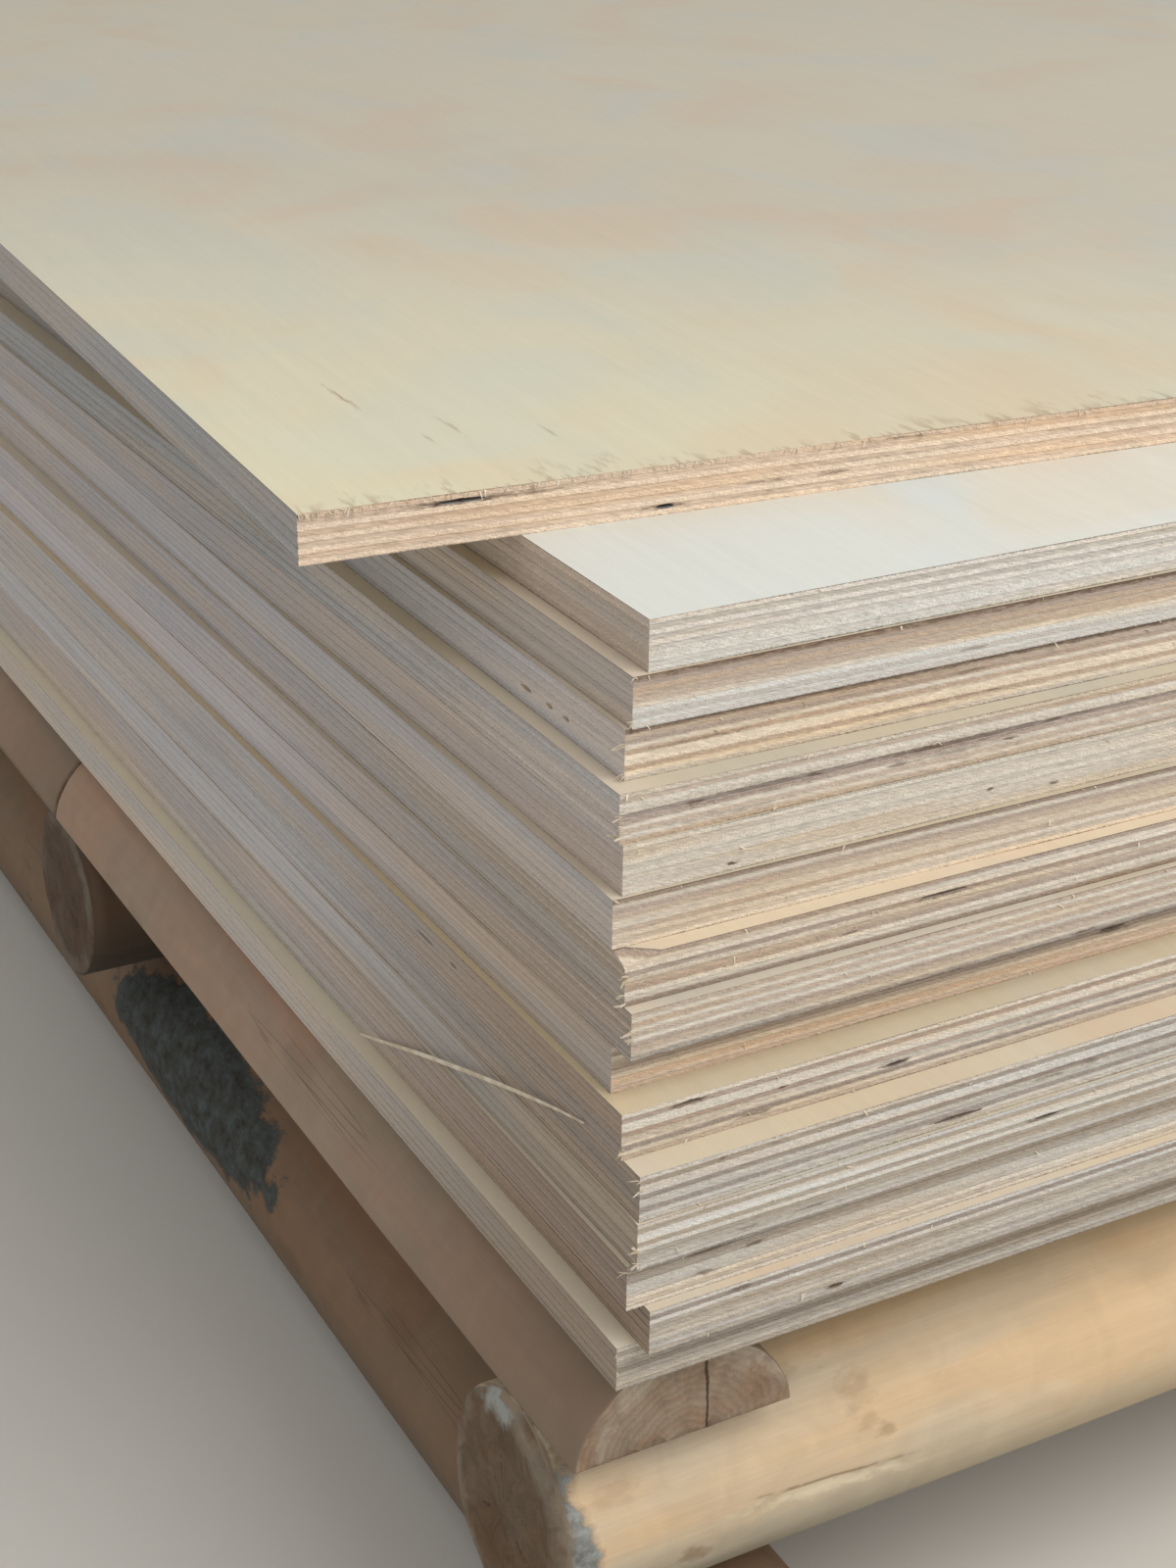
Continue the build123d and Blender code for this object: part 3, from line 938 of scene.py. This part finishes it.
def add_copy(bm, template):
    """A copy of the template in a mesh: its new corners."""
    before = len(bm.verts)
    bm.from_mesh(template)
    bm.verts.ensure_lookup_table()
    return bm.verts[before:]


def add_fibre(bm, template, start, way, size):
    """A copy of the template, bent: its length, width, thickness, curl and twist in size."""
    length, width, thick, curl, twist = size
    way = way.normalized()
    side = way.cross(Vector((0, 0, 1))).normalized()
    lift = side.cross(way)
    for vert in add_copy(bm, template):
        share = vert.co.x
        turn = twist * share
        across = vert.co.y * width * math.cos(turn) - vert.co.z * thick * math.sin(turn)
        over = vert.co.y * width * math.sin(turn) + vert.co.z * thick * math.cos(turn)
        over += curl * length * share * share
        place = start + way * (share * length) + side * across + lift * over
        vert.co = [min(max(value, low), high) for value, low, high in zip(place, CAD_LOW, CAD_HIGH)]


def sheet_fibres(bm, template, number, count, pick):
    """Torn fibres that stand out of the front edge of a sheet, more and longer on the top one."""
    corner, _, along, back, thickness = sheet_place(number)
    is_top = number == 1
    more, crowding, spread, shortest, longest = (5, 2.2, 1.6, 1.2, 4.2) if is_top else (1, 1.6, 2.5, 1, 3.2)
    for _ in range(count * more):
        place = pick.uniform(0, 1) ** crowding * 1.21
        level = thickness - 0.15 * MM
        if not is_top and pick.random() >= 0.4:
            level = pick.choice((0.05, 0.25, 0.45, 0.65, 0.85)) * thickness
        start = corner + along * place + Vector((0, 0, level)) + back * 0.4 * MM
        way = -back + along * pick.uniform(-spread, spread) + Vector((0, 0, pick.uniform(-0.9, -0.1)))
        size = (pick.uniform(shortest, longest) * MM, pick.uniform(0.35, 1.1) * MM,
                pick.uniform(0.12, 0.25) * MM, pick.uniform(-0.5, 0.1), pick.uniform(-1.5, 1.5))
        add_fibre(bm, template, start, way, size)


# Splinters at the front left corner: sheet, height as a share of the thickness, millimetres
# long and wide, and how far each points back along the side instead of out to the left.
CORNER_SPLINTERS = (
    (1, 0.30, 3, 1.2, 0.9), (3, 0.12, 4, 0.9, 0.5), (4, 0.74, 6, 1.3, 0.8),
    (4, 0.10, 5, 1.2, 0.3), (5, 0.55, 4, 1.6, 0.4), (5, 0.16, 5, 2.2, 0.6),
    (5, 0.34, 3, 1, 0.2), (8, 0.62, 5, 1.8, 0.3), (8, 0.20, 4, 2, 0.6),
    (8, 0.08, 5, 1, 0.4), (9, 0.62, 6, 1.6, 0.2), (9, 0.48, 4, 1.2, 0.5),
    (11, 0.22, 4, 1.8, 0.5), (12, 0.92, 6, 1.3, 0.4), (12, 0.70, 4, 1, 0.2),
    (13, 0.45, 5, 2.4, 0.5), (13, 0.15, 4, 1.6, 0.3), (14, 0.90, 5, 1.2, 0.7),
)
CHIPS_PER_SPLINTER = 3


def corner_splinters(bm, template, pick):
    """Ragged chips along the front left corners."""
    for number, level, length, width, backward in CORNER_SPLINTERS:
        corner, _, along, back, thickness = sheet_place(number)
        for _ in range(CHIPS_PER_SPLINTER):
            start = corner + Vector((0, 0, level * thickness + pick.uniform(-0.7, 0.7) * MM))
            start += along * pick.uniform(0.3, 1.2) * MM + back * pick.uniform(-0.1, 0.6) * MM
            way = -along * pick.uniform(0.5, 1) + back * backward * pick.uniform(0.2, 1.2)
            way += -back * pick.uniform(0.2, 0.7) + Vector((0, 0, pick.uniform(-0.5, 0.3)))
            size = (length * MM * pick.uniform(0.5, 1), width * MM * pick.uniform(0.6, 1.2),
                    0.3 * MM, pick.uniform(-0.4, 0.4), pick.uniform(-0.8, 0.8))
            add_fibre(bm, template, start, way, size)


# The long sliver that leans on the left side, as places in millimetres from the squared
# corner of the stack: to the right, back and up from the lowest sheet's underside.
SLIVER_PATH = (
    (-5.9, 18, 91.5), (-6.1, 38, 86), (-6.8, 60, 79.5), (-7.6, 84, 72), (-8.4, 110, 63.5),
    (-8.8, 136, 54.5), (-8.8, 156, 47), (-8.6, 174, 40), (-8.4, 192, 33), (-8, 205, 28),
)
# The lowest sheet's corner, to the right of and behind the squared corner
LOWEST_SHEET_PLACE = Vector((-8, -11, 0)) * MM


def sliver(bm, template):
    """A thin strip of veneer, bent between its two ends."""
    squared = sheet_place(len(SHEET_LOOKS))[0] - LOWEST_SHEET_PLACE
    last = len(SLIVER_PATH) - 1
    for vert in add_copy(bm, template):
        share = vert.co.x
        first = min(int(share * last), last - 1)
        middle = Vector(SLIVER_PATH[first]).lerp(Vector(SLIVER_PATH[first + 1]), share * last - first)
        taper = 0.25 + 0.75 * math.sin(math.pi * min(max(share, 0.04), 0.96)) ** 0.6
        reach = math.hypot(vert.co.y, vert.co.z)
        out, up = 0.22 * vert.co.z / reach, taper * vert.co.y / reach
        vert.co = squared + (middle + Vector((out, 0, up))) * MM


def add_piece(name, bm, material):
    """A new piece that rides on the stack, from a finished mesh."""
    bmesh.ops.recalc_face_normals(bm, faces=bm.faces[:])
    made = mesh_object(name, bm, material)
    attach(made, BODY)


def fibre_material():
    """Pale torn wood."""
    material, net = new_material("torn_fibre")
    place = net.out("TexCoord", output="Object")
    tone = net.noise(place, 2, scale=160)
    fine = net.noise(place, 3, 0.6, scale=2500)
    colour = net.blend(tone.remap(0.35, 0.65), linear(196, 180, 154), linear(222, 212, 192))
    colour = net.shade(colour, fine.remap(0.25, 0.75, 0.9, 1.08))
    net.surface(colour, fine.remap(0.2, 0.8, 0.7, 0.85), 0.3, fine, 0.3, 0.1 * MM)
    return material


class PLYWOOD_OT_fibres(bpy.types.Operator):
    """Add torn fibres, splinters at the corners and a loose sliver"""

    bl_idname = "plywood.fibres"
    bl_label = "Loose fibres"

    def execute(self, context):
        props = context.scene.plywood_fibres
        pick = random.Random(props.seed)
        material = fibre_material()
        template = fibre_template(4)
        strip_template = fibre_template(21)
        torn, chips, strip = bmesh.new(), bmesh.new(), bmesh.new()
        for number in range(1, len(SHEET_LOOKS) + 1):
            sheet_fibres(torn, template, number, props.per_edge, pick)
        corner_splinters(chips, template, pick)
        sliver(strip, strip_template)
        for name, bm in (("torn_fibres", torn), ("corner_splinters", chips), ("loose_sliver", strip)):
            add_piece(name, bm, material)
        for mesh in (template, strip_template):
            bpy.data.meshes.remove(mesh)
        return {"FINISHED"}


# Stage

FLOOR_HALF = 30
LAMP_PLACE = Vector((0.5, -3, 2.9))
LAMP_TARGET = Vector((-0.3, -0.9, 0.35))
LAMP_SIZE = 2.4
CAMERA_PLACE = Vector((-0.9653, -1.8610, 0.7796))
CAMERA_HEADING = math.radians(28.775)
CAMERA_PITCH = math.radians(25)
CAMERA_ROLL = math.radians(0.747)
CAMERA_LENS = 56.75
CAMERA_SENSOR = 36


class PlywoodStageProps(bpy.types.PropertyGroup):
    """What a user may change on the stage."""

    floor_colour: bpy.props.FloatVectorProperty(
        name="Floor colour", description="Colour of the plain floor", subtype="COLOR",
        size=4, default=linear(216, 211, 203), min=0, max=1)
    key_power: bpy.props.FloatProperty(
        name="Key light", description="Power of the large soft light", default=76, unit="POWER")
    sky: bpy.props.FloatProperty(
        name="Sky", description="Strength of the light from all round", default=0.64, min=0)


def stage_floor(colour):
    """A wide plain floor under the stack."""
    material, net = new_material("floor_plain")
    net.surface(colour, 0.9)
    bm = bmesh.new()
    bmesh.ops.create_grid(bm, x_segments=1, y_segments=1, size=FLOOR_HALF)
    floor = mesh_object("floor", bm, material)
    floor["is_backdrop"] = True


def stage_world(strength):
    """Even light from all round, and a pale backdrop where the camera sees past the floor."""
    world = bpy.data.worlds.new("studio")
    bpy.context.scene.world = world
    world.use_nodes = True
    world.node_tree.nodes.clear()
    net = Net(world.node_tree)
    seen = 0
    for ray in ("Is Camera Ray", "Is Glossy Ray", "Is Transmission Ray"):
        seen = net.math("MAXIMUM", net.out("LightPath", output=ray), seen)
    lit = net.out("Background", {"Color": (0.98, 0.99, 1, 1), "Strength": strength})
    shown = net.out("Background", {"Color": linear(232, 230, 226), "Strength": 1})
    net.node("OutputWorld", {"Surface": net.out("MixShader", {0: seen, 1: lit, 2: shown})})


def stage_lamp(power):
    """One large square lamp, high up in front of the stack."""
    data = bpy.data.lights.new("key", "AREA")
    data.size = LAMP_SIZE
    data.energy = power
    data.color = (1, 0.985, 0.96)
    turn = (LAMP_TARGET - LAMP_PLACE).to_track_quat("-Z", "Y").to_matrix().to_4x4()
    add_object("key", data, Matrix.Translation(LAMP_PLACE) @ turn)


def stage_camera():
    """The camera at the photograph's place and angle."""
    data = bpy.data.cameras.new("camera")
    data.lens = CAMERA_LENS
    data.sensor_width = CAMERA_SENSOR
    data.clip_start = 0.05
    data.clip_end = 100
    turn = (Matrix.Rotation(-CAMERA_HEADING, 4, "Z")
            @ Matrix.Rotation(math.radians(90) - CAMERA_PITCH, 4, "X")
            @ Matrix.Rotation(CAMERA_ROLL, 4, "Z"))
    bpy.context.scene.camera = add_object("camera", data, Matrix.Translation(CAMERA_PLACE) @ turn)


class PLYWOOD_OT_stage(bpy.types.Operator):
    """Set up the floor, the soft light and the camera"""

    bl_idname = "plywood.stage"
    bl_label = "Stage"

    def execute(self, context):
        props = context.scene.plywood_stage
        context.scene.view_settings.view_transform = "Standard"
        stage_floor(props.floor_colour)
        stage_world(props.sky)
        stage_lamp(props.key_power)
        stage_camera()
        return {"FINISHED"}


class PLYWOOD_PT_panel(bpy.types.Panel):
    """The panel that lists the steps in order"""

    bl_label = "Plywood stack"
    bl_space_type = "VIEW_3D"
    bl_region_type = "UI"
    bl_category = "Plywood"

    def draw(self, context):
        for operator, settings in STEPS:
            box = self.layout.box()
            box.operator(operator)
            if settings:
                group = getattr(context.scene, settings)
                for name in group.bl_rna.properties.keys():
                    if name not in ("rna_type", "name"):
                        box.prop(group, name)


STEPS = (
    ("plywood.sheets", "plywood_sheets"),
    ("plywood.logs", None),
    ("plywood.fibres", "plywood_fibres"),
    ("plywood.stage", "plywood_stage"),
)
GROUPS = {
    "plywood_sheets": PlywoodSheetProps,
    "plywood_fibres": PlywoodFibreProps,
    "plywood_stage": PlywoodStageProps,
}
CLASSES = (
    *GROUPS.values(), PLYWOOD_OT_sheets, PLYWOOD_OT_logs, PLYWOOD_OT_fibres, PLYWOOD_OT_stage,
    PLYWOOD_PT_panel,
)


def register():
    """Make the classes and their settings known."""
    for cls in CLASSES:
        bpy.utils.register_class(cls)
    for name, group in GROUPS.items():
        setattr(bpy.types.Scene, name, bpy.props.PointerProperty(type=group))


def unregister():
    """Take the settings and the classes away again."""
    for name in GROUPS:
        delattr(bpy.types.Scene, name)
    for cls in reversed(CLASSES):
        bpy.utils.unregister_class(cls)


def write_size():
    """The box of the finished model, worked out and not used."""
    low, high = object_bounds()


def main():
    """Run every step in order."""
    register()
    for operator, _ in STEPS:
        area, step = operator.split(".")
        getattr(getattr(bpy.ops, area), step)()
    write_size()


if __name__ == "__main__":
    main()
